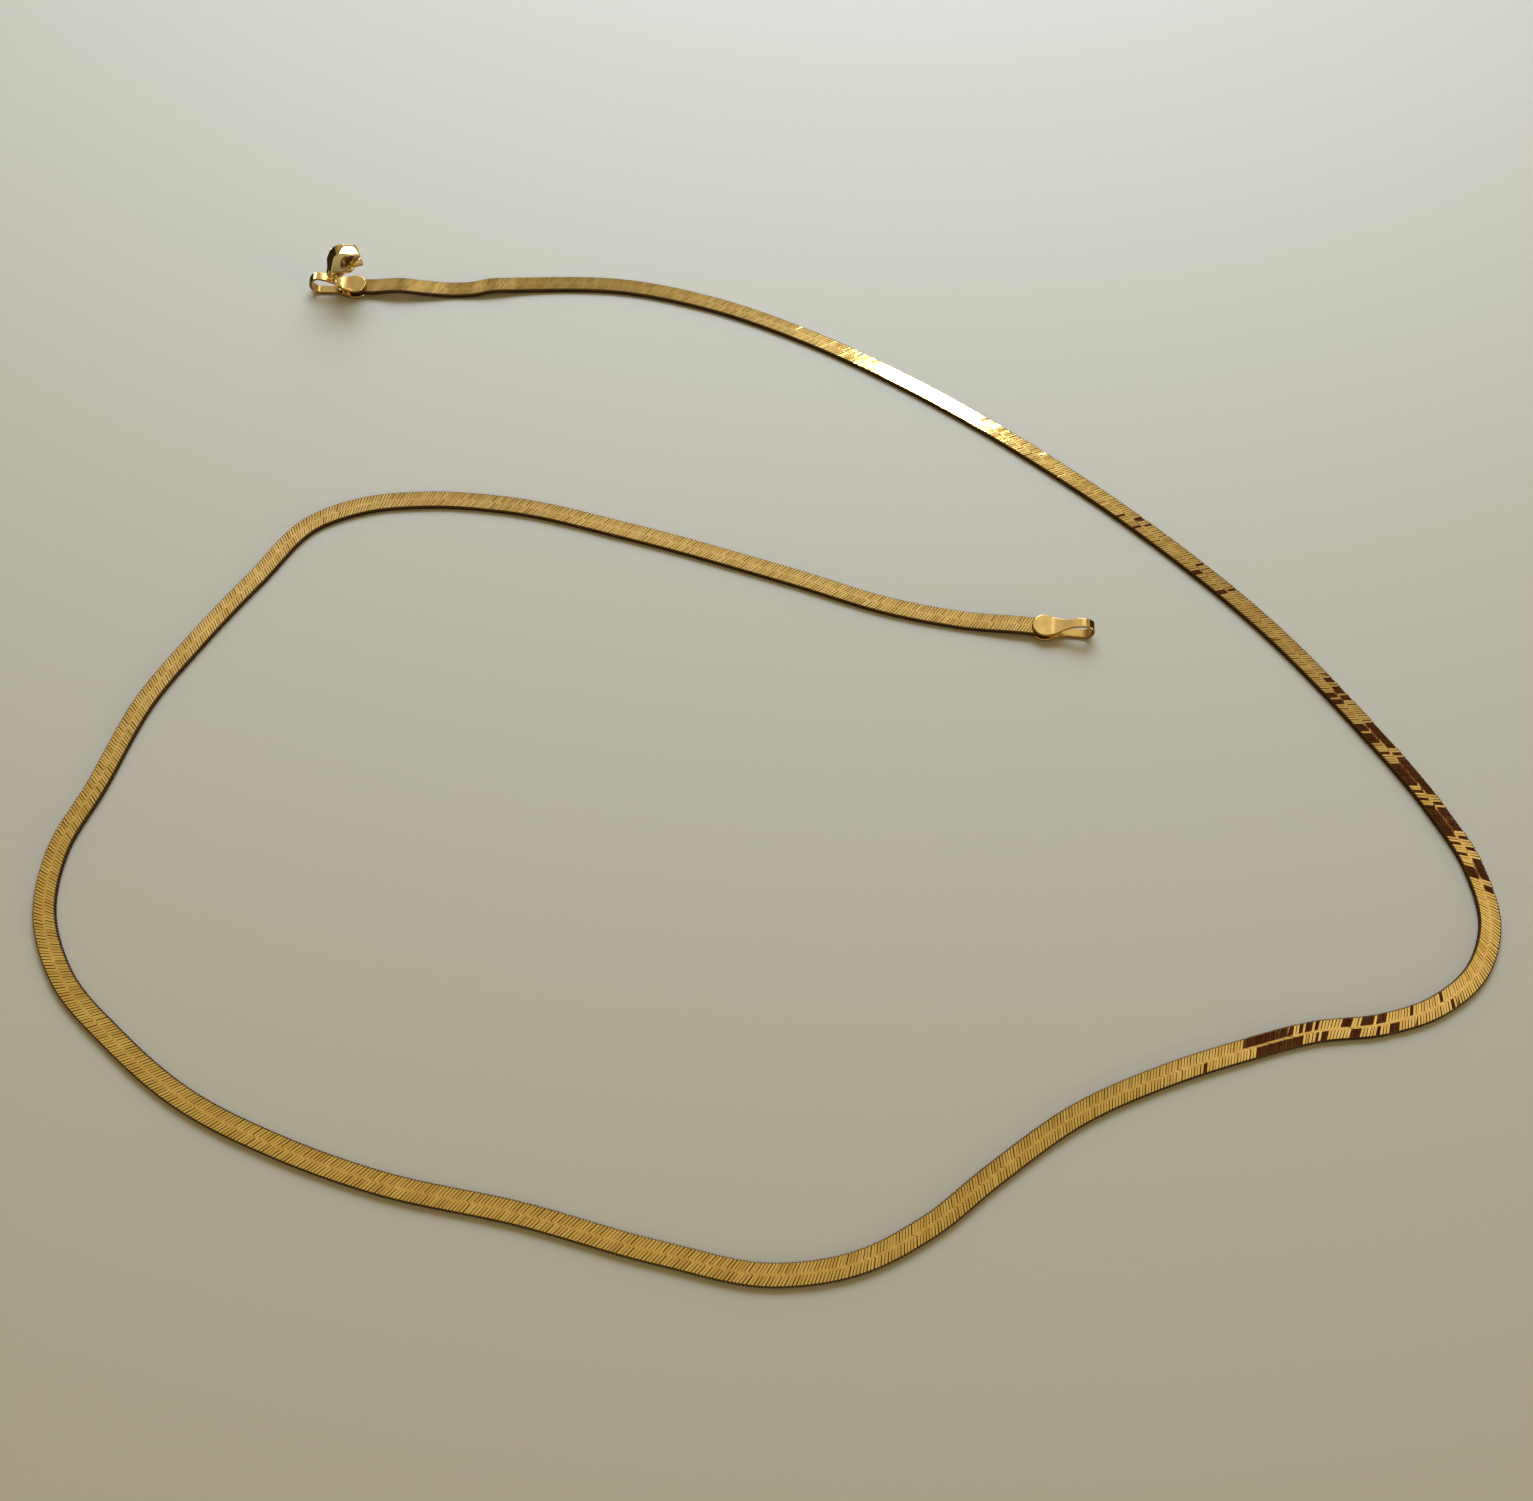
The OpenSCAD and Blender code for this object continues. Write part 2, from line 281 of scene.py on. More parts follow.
# %% Route of the band
BAND_W = 2.8
BAND_T = 0.75
TAB_T = 0.4
LEAF_GAP = 0.05
END_LIFT = TAB_T + LEAF_GAP
ROUTE = [
    (-70.6, 77.2, END_LIFT), (-67, 77.5, END_LIFT), (-63, 77.6, 1), (-58.5, 77.9, 0.5),
    (-54, 78.4, 0), (-51.3, 78.7, 0.15), (-48.5, 79.3, 0.5), (-44.5, 80.1, 0.2),
    (-39, 80.9, 0), (-28, 81.4, 0), (-14, 79.1, 0), (2.5, 73.2, 0), (18, 65.3, 0),
    (37, 53.2, 0), (54.5, 39.6, 0), (70, 24.8, 0), (82, 9.7, 0), (90, -2.3, 0),
    (94, -11, 0), (94.7, -19, 0), (92.2, -25, 0), (86.5, -30, 0), (79, -33, 0),
    (70.5, -34.5, 0), (61.5, -37.4, 0), (52, -41, 0), (40.5, -46.7, 0),
    (30, -54.6, 0), (22.5, -60.9, 0), (14.5, -65.4, 0), (5, -67.4, 0),
    (-8.5, -65.8, 0), (-25, -62.5, 0), (-42, -60, 0), (-54, -56.8, 0),
    (-67, -51.6, 0), (-76.5, -45.3, 0), (-85, -37.8, 0), (-89.4, -29.5, 0),
    (-90, -21.5, 0), (-87.5, -12, 0), (-84.2, 1.5, 0), (-80, 10.5, 0),
    (-73.7, 22, 0), (-67.5, 32, 0), (-61, 35.5, 0), (-52, 37.3, 0), (-40, 37.3, 0),
    (-22, 34, 0), (2, 28, 0), (17, 23.9, 0), (27, 22.5, 0), (35.3, 22.06, END_LIFT),
    (38.9, 21.9, END_LIFT),
]
SPAN_POINTS = 25


def smooth_route(points):
    """Points close together on the smooth curve through the route's points."""
    knots = [Vector(p) for p in points]
    legs = [b - a for a, b in zip(knots, knots[1:])]
    headings = [legs[0].normalized()]
    for before, after in zip(legs, legs[1:]):
        mixed = before.normalized() * after.length + after.normalized() * before.length
        headings.append(mixed / (before.length + after.length))
    headings.append(legs[-1].normalized())
    path = []
    for i, leg in enumerate(legs):
        reach = leg.length / 3
        handles = knots[i] + headings[i] * reach, knots[i + 1] - headings[i + 1] * reach
        span = geometry.interpolate_bezier(knots[i], *handles, knots[i + 1], SPAN_POINTS)
        level_span = i in (0, len(legs) - 1)
        for p in span[: -1 if i < len(legs) - 1 else None]:
            path.append((p.x, p.y, END_LIFT if level_span else max(0, p.z)))
    return np.array(path)


path = smooth_route(ROUTE)
travel = np.concatenate([[0], np.cumsum(np.linalg.norm(np.diff(path, axis=0), axis=1))])
print("length of the band", round(travel[-1], 1), "mm")

# %% [markdown]
# Whatever lies along the band asks for three things at a distance: the middle of the
# band's underside, its heading, and the level direction across it. The construction
# model stands centred on its origin, so the middle of the route is found here too.


# %% Places along the route
HEADING_REACH = 0.2
RIM_STEP = 0.5


def flat_unit(vectors):
    """The same vectors laid level, each of length 1."""
    laid = vectors * np.array([1, 1, 0])
    return laid / np.linalg.norm(laid, axis=1, keepdims=True)


def along_route(distance):
    """Middle of the underside, heading and level sideways direction at distances."""
    near, far = distance - HEADING_REACH, distance + HEADING_REACH
    place, before, after = (
        np.stack([np.interp(d, travel, path[:, axis]) for axis in range(3)], axis=1)
        for d in (distance, near, far)
    )
    heading = after - before
    heading /= np.linalg.norm(heading, axis=1, keepdims=True)
    ahead = flat_unit(heading)
    sideways = np.stack([-ahead[:, 1], ahead[:, 0], 0 * ahead[:, 0]], axis=1)
    return place, heading, sideways


everywhere = np.arange(0, travel[-1], RIM_STEP)
places, _, sides = along_route(everywhere)
rims = np.concatenate([places + BAND_W / 2 * sides, places - BAND_W / 2 * sides])
middle = (rims.max(axis=0) + rims.min(axis=0)) / 2 * np.array([1, 1, 0])
print("middle of the route", middle.round(3), "mm")

# %% [markdown]
# One link is a narrow strip across the band. Seen from above it runs slantwise, steps
# back at the middle and runs on at the same slant, and the rows of steps make the
# zigzag seam. It starts as a grid of one column, is slid into that line, extruded
# to its thickness, and bevelled: roundly at its two ends, which make the toothed
# rim of the band, and finely along its bars. Its side walls are painted dark, as painted
# shade, which draws the cross lines of the weave and the dark line along the band's
# edges. Its rims and chamfers are satin, so that they don't flash where they turn to a
# light, and their dark brown is painted shade too.

# %% One link
PITCH = 0.42
LEFT_SLANT = 0.58
RIGHT_SLANT = 0.60
SEAM_STEP = 0.50
SEAM_HALF = 0.16
SKIN = 0.01
END_ROUND = 0.19
CHAMFER = 0.026
ROWS = (-BAND_W / 2, -1.18, -SEAM_HALF, SEAM_HALF, 1.18, BAND_W / 2)
WIDTHS = (0.20, 0.355, 0.395, 0.395, 0.355, 0.20)
HAIR = 0.001
LONG_EDGE = 0.5
WALL, RIM = 1, 2
STEEP, LEVEL = 0.3, 0.95


def bar_shift(across):
    """How far along the band the link's line lies at a place across it."""
    if across > SEAM_HALF:
        return LEFT_SLANT * (across - SEAM_HALF) - SEAM_STEP / 2
    if across < -SEAM_HALF:
        return RIGHT_SLANT * (across + SEAM_HALF) + SEAM_STEP / 2
    return -across / SEAM_HALF * SEAM_STEP / 2


def bevel(bm, edges, offset, segments, clamped=True):
    """Rounds edges by an offset. Clamped, the bevel stays within the shortest edge."""
    bmesh.ops.bevel(
        bm, geom=edges, offset=offset, offset_type="OFFSET", affect="EDGES",
        segments=segments, profile=0.5, material=-1, clamp_overlap=clamped,
    )


def link_mesh():
    """One link in millimetres, its face finishes chosen: top, wall or rim."""
    bm = bmesh.new()
    bmesh.ops.create_grid(bm, x_segments=1, y_segments=len(ROWS) - 1, size=0.5)
    rows = sorted({round(v.co.y, 5) for v in bm.verts})
    for v in bm.verts:
        at = rows.index(round(v.co.y, 5))
        v.co = (math.copysign(WIDTHS[at] / 2, v.co.x) + bar_shift(ROWS[at]), ROWS[at], SKIN)
    raised = bmesh.ops.extrude_face_region(bm, geom=bm.faces[:])["geom"]
    up = [g for g in raised if isinstance(g, bmesh.types.BMVert)]
    bmesh.ops.translate(bm, verts=up, vec=(0, 0, BAND_T - SKIN))
    bmesh.ops.recalc_face_normals(bm, faces=bm.faces[:])

    def at_end(e):
        return all(abs(v.co.y) > BAND_W / 2 - HAIR for v in e.verts)

    def is_level(e):
        return abs(e.verts[0].co.z - e.verts[1].co.z) < HAIR

    across_ends = [e for e in bm.edges if at_end(e) and is_level(e)]
    bevel(bm, across_ends, END_ROUND, segments=2)
    top = [
        e for e in bm.edges
        if min(v.co.z for v in e.verts) > BAND_T - HAIR
        and abs(e.verts[0].co.y - e.verts[1].co.y) > LONG_EDGE
    ]
    bevel(bm, top, CHAMFER, segments=1)
    bm.normal_update()
    # Walls take the wall finish and rims and chamfers the rim finish, both dark as painted shade.
    for face in bm.faces:
        at_rim = abs(face.calc_center_median().y) > BAND_W / 2 - END_ROUND
        if abs(face.normal.z) < STEEP:
            face.material_index = WALL
        elif at_rim or STEEP < face.normal.z < LEVEL:
            face.material_index = RIM
    mesh = bpy.data.meshes.new("link")
    bm.to_mesh(mesh)
    bm.free()
    return mesh


one_link = link_mesh()
print("one link has", len(one_link.polygons), "faces")

# %% [markdown]
# An Array modifier makes all copies of the link in one place, and the next steps lay
# each one on the route. One helper applies an object's modifiers. The other shows a
# finished mesh as a piece: it hangs the piece on the body that it moves with, and hides
# the solids that it stands for.


# %% The row of links
END_FREE = 0.5


def applied(obj):
    """The object's mesh with its modifiers applied."""
    graph = bpy.context.evaluated_depsgraph_get()
    mesh = bpy.data.meshes.new_from_object(obj.evaluated_get(graph))
    bpy.data.objects.remove(obj)
    return mesh


def new_piece(name, mesh, body, slot, replaced, *finishes):
    """Shows a finished mesh as a piece that moves with a body."""
    piece = bpy.data.objects.new(name, mesh)
    bpy.context.scene.collection.objects.link(piece)
    for finish in finishes:
        mesh.materials.append(finish)
    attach(piece, body)
    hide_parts(*replaced)


link_count = int((travel[-1] - 2 * END_FREE) // PITCH)
link_at = END_FREE + PITCH * (np.arange(link_count) + 0.5)
row = bpy.data.objects.new("row", one_link)
bpy.context.scene.collection.objects.link(row)
repeat = row.modifiers.new("repeat", "ARRAY")
repeat.count = link_count
repeat.use_relative_offset = False
repeat.use_constant_offset = True
repeat.constant_offset_displace = (0, 0, 0)
links = applied(row)
print(link_count, "links,", len(links.polygons), "faces")

# %% [markdown]
# Hand-finished links never lie quite alike: each half of a link leans by a fraction of
# a degree, and a few by two. Those leans break a mirror image into bright and dark
# bars. Before and after the tight bend, whole runs of bars look brown. Two lists, for
# the band's left and right half, say where, in millimetres along the route. Those bars
# lean outwards by one angle, which turns them to a dark card among the lights.

# %% Leans of the bars
MOST_LEAN = 2.4
STRAY_SHARE = 0.04
LEFT_LEANING = [
    (133.8, 134.3), (145.0, 145.5), (150.7, 151.3), (169.2, 170.1), (170.9, 172.3), (172.8, 173.6),
    (177.8, 182.3), (183.1, 183.5), (184.1, 190.3), (191.5, 191.9), (192.6, 196.4), (196.9, 197.3),
    (198.8, 199.2), (200.5, 203.2), (204.1, 205.0), (222.2, 222.6), (230.3, 231.6),
    (232.7, 233.2), (235.3, 236.5), (239.3, 240.4), (240.9, 241.3), (241.9, 242.3),
    (243.0, 249.2), (255.8, 256.3),
]
RIGHT_LEANING = [
    (131.6, 132.0), (134.4, 134.9), (145.6, 146.1), (150.2, 150.7), (171.4, 172.3), (172.7, 173.6),
    (177.3, 178.7), (179.2, 180.5), (182.2, 182.7), (184.3, 188.3), (188.9, 189.4), (190.3, 190.8),
    (191.8, 196.6), (197.5, 197.9), (199.2, 199.6), (200.3, 200.6), (201.2, 202.8),
    (222.9, 223.5), (227.8, 228.3), (231.5, 232.7), (233.2, 234.8), (236.0, 237.5),
    (240.4, 240.8), (241.3, 241.8), (242.4, 242.8), (243.5, 250.6),
]
LEAN_SEED = 11
rng = np.random.default_rng(LEAN_SEED)


def leans(usual, stray):
    """A small random lean in degrees for each link, a few of them large."""
    small = rng.normal(0, usual, link_count)
    large = np.clip(rng.normal(0, stray, link_count), -MOST_LEAN, MOST_LEAN)
    return np.where(rng.random(link_count) < STRAY_SHARE, large, small)


def wander(step_mm, seed):
    """A number from -1 to 1 for each link, which wanders along the band."""
    return np.array([
        2 * noise.noise(Vector((k * PITCH / step_mm, seed, 0))) for k in range(link_count)
    ])


def leaning(stretches):
    """1 for each link whose middle lies in one of the stretches, and 0 for the others."""
    inside = [(link_at > start) & (link_at < stop) for start, stop in stretches]
    return sum(within.astype(float) for within in inside)


print("bars that lean outwards:", int(leaning(LEFT_LEANING).sum() + leaning(RIGHT_LEANING).sum()))

# %% [markdown]
# Only the top of a bar tips, as if it was ground so, and its underside stays on the
# surface. A lean tips it along the band, about the bar's own line, and less so near
# the seam. A twist tips it across the band, about the seam. The outward lean is a
# twist too. A long slow roll tips the whole band a little, and every bar gets a tone.

# %% Tipping the tops
USUAL_LEAN, STRAY_LEAN = 0.30, 1.6
USUAL_TWIST, STRAY_TWIST = 0.20, 0.8
LEAN_DRIFT, LEAN_DRIFT_MM = 0.30, 2.6
ROLL_DEG, ROLL_MM, ROLL_SEED = 0.35, 25.0, 5.3
TONE_DRIFT, TONE_DRIFT_MM, TONE_SEED = 0.18, 1.3, 20
TONE_SPECKLE = 0.30
SEAM_CALM = 0.35
OUTWARD = 4.2
PIVOT = 0.08
LEFT_SEED, RIGHT_SEED = 3.1, 8.7
HALVES = ((1, LEFT_SEED, LEFT_LEANING), (-1, RIGHT_SEED, RIGHT_LEANING))

corner = np.zeros(len(links.vertices) * 3)
links.vertices.foreach_get("co", corner)
corner = corner.reshape(link_count, -1, 3)
x, y, z = corner[..., 0], corner[..., 1], corner[..., 2]
line = np.vectorize(bar_shift)(corner[0, :, 1])[None, :]
calm = np.where(np.abs(y) < 2 * SEAM_HALF, SEAM_CALM, 1.0)
drop = np.zeros_like(z)
tone = np.zeros_like(z)
for side, seed, outward in HALVES:
    half = side * y > 0
    lean = leans(USUAL_LEAN, STRAY_LEAN) + LEAN_DRIFT * wander(LEAN_DRIFT_MM, seed)
    twist = leans(USUAL_TWIST, STRAY_TWIST)
    drift = 0.5 + TONE_DRIFT * wander(TONE_DRIFT_MM, seed + TONE_SEED)
    speckle = rng.normal(0, TONE_SPECKLE, link_count)
    tone += half * np.clip(drift + speckle, 0, 1)[:, None]
    tipped = np.radians(lean)[:, None] * (x - line) * calm
    tipped += np.radians(twist)[:, None] * (y - side * SEAM_HALF)
    tipped -= np.radians(OUTWARD) * leaning(outward)[:, None] * (y - side * PIVOT)
    drop += half * tipped
drop += np.radians(ROLL_DEG * wander(ROLL_MM, ROLL_SEED))[:, None] * y
z = z + (z > BAND_T / 2) * drop
print("tops tipped by up to", round(float(np.abs(drop).max()), 3), "mm")

# %% [markdown]
# Each link is turned to the route's heading, and sits a hair off its even step. Its
# tone is kept on its points, where the finish of the links reads it.

# %% Laying the links on the route
UNEVEN_MM = 0.02
uneven = rng.normal(0, UNEVEN_MM, link_count)
place, heading, sideways = along_route(link_at + uneven)
above = np.cross(heading, sideways)
laid = (
    (place - middle)[:, None, :]
    + x[..., None] * heading[:, None, :]
    + y[..., None] * sideways[:, None, :]
    + z[..., None] * above[:, None, :]
)
links.vertices.foreach_set("co", (laid * MM).ravel())
links.attributes.new("tone", "FLOAT", "POINT").data.foreach_set("value", tone.ravel())
links.update()
new_piece("herringbone_links", links, "chain", "band_gold", ["woven_band"], *link_finishes)
print("links laid over", round(float(travel[-1]), 1), "mm")

# %% [markdown]
# Between the links of a real chain one sees more gold, in shade. A plain core strip
# inside the links stands for it, so that no light shines through the slits. Its dark
# brown finish is painted shade.

# %% Core inside the links
CORE_W = 2.56
CORE_LOW = 0.05
CORE_T = 0.58
CORE_STEPS = 420
bm = bmesh.new()
bmesh.ops.create_grid(bm, x_segments=CORE_STEPS, y_segments=1, size=0.5)
bmesh.ops.translate(bm, verts=bm.verts[:], vec=(0.5, 0, 0))
raised = bmesh.ops.extrude_face_region(bm, geom=bm.faces[:])["geom"]
up = [g for g in raised if isinstance(g, bmesh.types.BMVert)]
bmesh.ops.translate(bm, verts=up, vec=(0, 0, CORE_T))
core_place, _, core_side = along_route(np.array([v.co.x for v in bm.verts]) * travel[-1])
for v, at, aside in zip(bm.verts, core_place - middle, core_side):
    lift = Vector((0, 0, CORE_LOW + v.co.z))
    v.co = (Vector(at) + Vector(aside) * v.co.y * CORE_W + lift) * MM
bmesh.ops.recalc_face_normals(bm, faces=bm.faces[:])
core_mesh = bpy.data.meshes.new("weave_core")
bm.to_mesh(core_mesh)
bm.free()
new_piece("weave_core", core_mesh, "chain", "band_gold", [], *core_finishes)
print("core has", len(core_mesh.polygons), "faces")

# %% [markdown]
# The tabs, the ring and the rivet have the right shape already, so each starts as a
# copy of its construction node. A node's mesh is loose triangles, so the copy's
# doubled points are merged first, with a reach that also takes up its hair-thin
# facets. It is worked on in millimetres and brought back to metres at the end.


# %% Copies of the construction solids
MERGED = 0.02


def node_copy(node):
    """A node's mesh in millimetres, its loose triangles merged."""
    bm = bmesh.new()
    bm.from_mesh(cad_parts[node].data)
    bmesh.ops.scale(bm, vec=(1 / MM, 1 / MM, 1 / MM), verts=bm.verts[:])
    bmesh.ops.remove_doubles(bm, verts=bm.verts[:], dist=MERGED)
    return bm


def loose(bm, name):
    """A linked object of the bmesh, ready for modifiers."""
    mesh = bpy.data.meshes.new(name)
    bm.to_mesh(mesh)
    bm.free()
    obj = bpy.data.objects.new(name + "_work", mesh)
    bpy.context.scene.collection.objects.link(obj)
    return obj


def in_metres(mesh):
    """The same mesh, brought from millimetres to metres."""
    mesh.transform(Matrix.Scale(MM, 4))
    return mesh


print("points closer than", MERGED, "mm are merged")

# %% [markdown]
# A tab is one strip of sheet, folded back over the band's end. Its outside is tumbled
# bright. The inside of the loop is painted duller and the narrow cut edge dark, both as
# painted shade. Which face is which follows from the loop's axis: it starts at the
# band's end and runs on outwards to the middle of the fold.


# %% Which way a tab's faces look
GRIP_REACH = 2.2
FOLD_MIDDLE = Vector((4.55, 0, 1.65))
INWARD_SHARE = 0.5
ACROSS_SHARE = 0.8
UPRIGHT_SHARE = 0.4
feet = [Vector((*p[:2], 0)) - Vector(middle) for p in ROUTE]
loop_axis = {
    "plain_tab": (feet[-1], (feet[-1] - feet[-2]).normalized()),
    "clasp_tab": (feet[0], (feet[0] - feet[1]).normalized()),
}


def faces_inside(face, end, out):
    """Whether a tab's face looks into the loop, whose fold lies out from its end."""
    centre = face.calc_center_median()
    reach = min((centre - end).dot(out), FOLD_MIDDLE.x)
    axis = end + out * reach + Vector((0, 0, FOLD_MIDDLE.z))
    across = out.cross(Vector((0, 0, 1)))
    inward = axis - centre
    inward -= inward.dot(across) * across
    return reach > 0 and face.normal.dot(inward.normalized()) > INWARD_SHARE


def is_cut_edge(face, end, out):
    """Whether a tab's face is the sheet's narrow cut edge."""
    across = out.cross(Vector((0, 0, 1)))
    round_end = (face.calc_center_median() - end).dot(out) < GRIP_REACH
    upright = abs(face.normal.z) < UPRIGHT_SHARE
    return abs(face.normal.dot(across)) > ACROSS_SHARE or (round_end and upright)


print("the loops start at", [[round(c, 2) for c in end] for end, _ in loop_axis.values()], "mm")

# %% [markdown]
# Real findings are tumbled until no edge is sharp. The copy's flat faces are joined
# and its sharp edges are bevelled, which gives gold its thin bright lines. The bevel
# isn't clamped, because one short edge anywhere would hold all of them down. Weighted
# normals keep flat faces flat between those round edges.


# %% Tumbled tabs, ring and rivet
FLAT_DEG = 0.5
SHARP_DEG = 32
BIG_FACE_WEIGHT = 90
SHEET_ROUND = 0.17
WIRE_ROUND = 0.02
RIVET_ROUND = 0.06
OUTSIDE, INSIDE, CUT = 0, 1, 2


def tumbled(node, name, slot, finishes, radius, segments=2):
    """A copy of a node as a piece, with all its sharp edges rounded."""
    bm = node_copy(node)
    bmesh.ops.dissolve_limit(
        bm, angle_limit=math.radians(FLAT_DEG), verts=bm.verts[:], edges=bm.edges[:]
    )
    sharp = [e for e in bm.edges if e.calc_face_angle(0) > math.radians(SHARP_DEG)]
    bevel(bm, sharp, radius, segments, clamped=False)
    bm.normal_update()
    for face in bm.faces:
        face.smooth = True
        # Faces inside the loop and on the cut edge take darker finishes, as painted shade.
        if node in loop_axis:
            inside = faces_inside(face, *loop_axis[node])
            face.material_index = INSIDE if inside else OUTSIDE
            if is_cut_edge(face, *loop_axis[node]):
                face.material_index = CUT
    work = loose(bm, name)
    work.modifiers.new("even_shading", "WEIGHTED_NORMAL").weight = BIG_FACE_WEIGHT
    mesh = in_metres(applied(work))
    print(name, "has", len(mesh.polygons), "faces")
    new_piece(name, mesh, "chain", slot, [node], *finishes)


tumbled("plain_tab", "plain_tab_sheet", "tab_gold", tab_finishes, SHEET_ROUND, segments=3)
tumbled("clasp_tab", "clasp_tab_sheet", "tab_gold", tab_finishes, SHEET_ROUND, segments=3)
tumbled("jump_ring", "jump_ring_wire", "clasp_gold", [cast_gold], WIRE_ROUND)
tumbled("lever_pin", "pin_rivet", "clasp_gold", [cast_gold], RIVET_ROUND)

# %% [markdown]
# The clasp is cast in wax first, and its lever too, so their forms are soft and full.
# The real body also has a ground facet on its shoulder, which catches the light. So a
# plane cuts the copied solid there, a voxel remesh lays an even skin of small faces
# over it, and rounds of smoothing wear its edges down as polishing does. Last, the
# two flanks are crowned a little, because no cast flank is flat. The inner wall of the
# hook is painted dark brown, as painted shade.

# %% Cast clasp and lever
VOXEL = 0.07
FLANK = -Vector((-0.3738754, 0.8805339, 0.2913371))
TO_NOSE = Vector((0.519, -0.062, 0.853))
TO_MOUTH = Vector((0.769, 0.470, -0.434))
TAIL_OUT = 1.7
TAIL_LIFT = Vector((0, 0, 3.95))
HOOK_ASIDE = 0.15
HOOK_AHEAD = 4.3
HOOK_WALL = 1.8
INNER_SHARE = 0.2
BODY_POLISH = 26
LEVER_POLISH = 8
POLISH_STEP = 0.5
SHOULDER = (0.80 * TO_NOSE + 0.60 * FLANK).normalized()
SHOULDER_CUT = 0.5
CROWN = 0.22
CROWN_REACH = 3.2
CUT_REACH = 0.0001
tab_end, tab_out = loop_axis["clasp_tab"]
tail_hole = tab_end + tab_out * TAIL_OUT + TAIL_LIFT
hook_middle = tail_hole + HOOK_ASIDE * TO_MOUTH + HOOK_AHEAD * TO_NOSE


def ground(bm, heading, depth):
    """Cuts the solid flat, square to a heading, at a depth below its furthest point."""
    top = max(bm.verts, key=lambda v: v.co.dot(heading)).co.copy()
    cut = bmesh.ops.bisect_plane(
        bm, geom=bm.verts[:] + bm.edges[:] + bm.faces[:], dist=CUT_REACH,
        plane_co=top - heading * depth, plane_no=heading, clear_outer=True,
    )
    rim = [g for g in cut["geom_cut"] if isinstance(g, bmesh.types.BMEdge)]
    bmesh.ops.holes_fill(bm, edges=rim)


def crown(bm, across, height, reach):
    """Bulges both flanks, most at the middle of the solid and nothing at its rim."""
    low, high = (Vector(f(v.co[i] for v in bm.verts) for i in range(3)) for f in (min, max))
    centre = (low + high) / 2
    for v in bm.verts:
        out = (v.co - centre).dot(across)
        beside = (v.co - centre - out * across).length
        bulge = height * max(0, 1 - (beside / reach) ** 2)
        v.co += across * math.copysign(bulge, out)


def in_hook(face):
    """Whether a face lies on the inner wall of the clasp's hook."""
    inward = hook_middle - face.calc_center_median()
    inward -= inward.dot(FLANK) * FLANK
    return inward.length < HOOK_WALL and face.normal.dot(inward.normalized()) > INNER_SHARE


def cast(node, name, body, polish, shouldered):
    """A copy of a node as a piece with a cast skin, smoothed in rounds of polish."""
    bm = node_copy(node)
    if shouldered:
        ground(bm, SHOULDER, SHOULDER_CUT)
    work = loose(bm, name)
    skin = work.modifiers.new("skin", "REMESH")
    skin.mode = "VOXEL"
    skin.voxel_size = VOXEL
    bm = bmesh.new()
    bm.from_mesh(applied(work))
    for _ in range(polish):
        bmesh.ops.smooth_vert(
            bm, verts=bm.verts[:], factor=POLISH_STEP,
            use_axis_x=True, use_axis_y=True, use_axis_z=True,
        )
    if shouldered:
        crown(bm, FLANK, CROWN, CROWN_REACH)
    bm.normal_update()
    for face in bm.faces:
        face.smooth = True
        # Faces on the hook's inner wall take the dark cut-edge finish, as painted shade.
        face.material_index = int(in_hook(face))
    mesh = bpy.data.meshes.new(name)
    bm.to_mesh(mesh)
    bm.free()
    print(name, "has", len(mesh.polygons), "faces")
    new_piece(name, in_metres(mesh), body, "clasp_gold", [node], *cast_finishes)


cast("clasp_body", "clasp_casting", "chain", BODY_POLISH, shouldered=True)
cast("clasp_lever", "clasp_lever_blade", "lever", LEVER_POLISH, shouldered=False)

# %% [markdown]
# The surface is plain and looks pale: its own colour is sand, and the lamp over it is
# cool. It is far larger than the picture, so that its rim is never seen, and it is
# dull, so that it keeps soft shadows under the band.

# %% Floor
FLOOR_REACH = 3
FLOOR_SAND = (0.456, 0.386, 0.217, 1)
bm = bmesh.new()
bmesh.ops.create_grid(bm, x_segments=1, y_segments=1, size=FLOOR_REACH)
floor_mesh = bpy.data.meshes.new("floor")
bm.to_mesh(floor_mesh)
bm.free()
floor = bpy.data.objects.new("floor", floor_mesh)
bpy.context.scene.collection.objects.link(floor)
floor_paint = bpy.data.materials.new("pale_floor")
floor_tree = opened(floor_paint)
paint = floor_tree.node(
    "BsdfPrincipled", None, {"Base Color": FLOOR_SAND, "Roughness": 0.75, "Specular IOR Level": 0.2}
)
floor_tree.node("OutputMaterial", None, {"Surface": paint})
floor_mesh.materials.append(floor_paint)
print("floor laid,", 2 * FLOOR_REACH, "m wide")

# %% [markdown]
# Light. A soft sky surrounds the scene, and the flat gold mirrors the part of it that
# lies high at the back. A ramp runs from warm overhead to neutral and dimmer lower
# down at the back. Soft round patches over it are brighter or dimmer, so that the
# band's tone changes along its route. Low down, and towards the front and the sides,
# the sky is dim, which darkens rims and walls. Two bright patches, one low at the back
# and one at the right, light the slanting faces of the clasp and the tabs. The camera
# itself sees a plain backdrop.

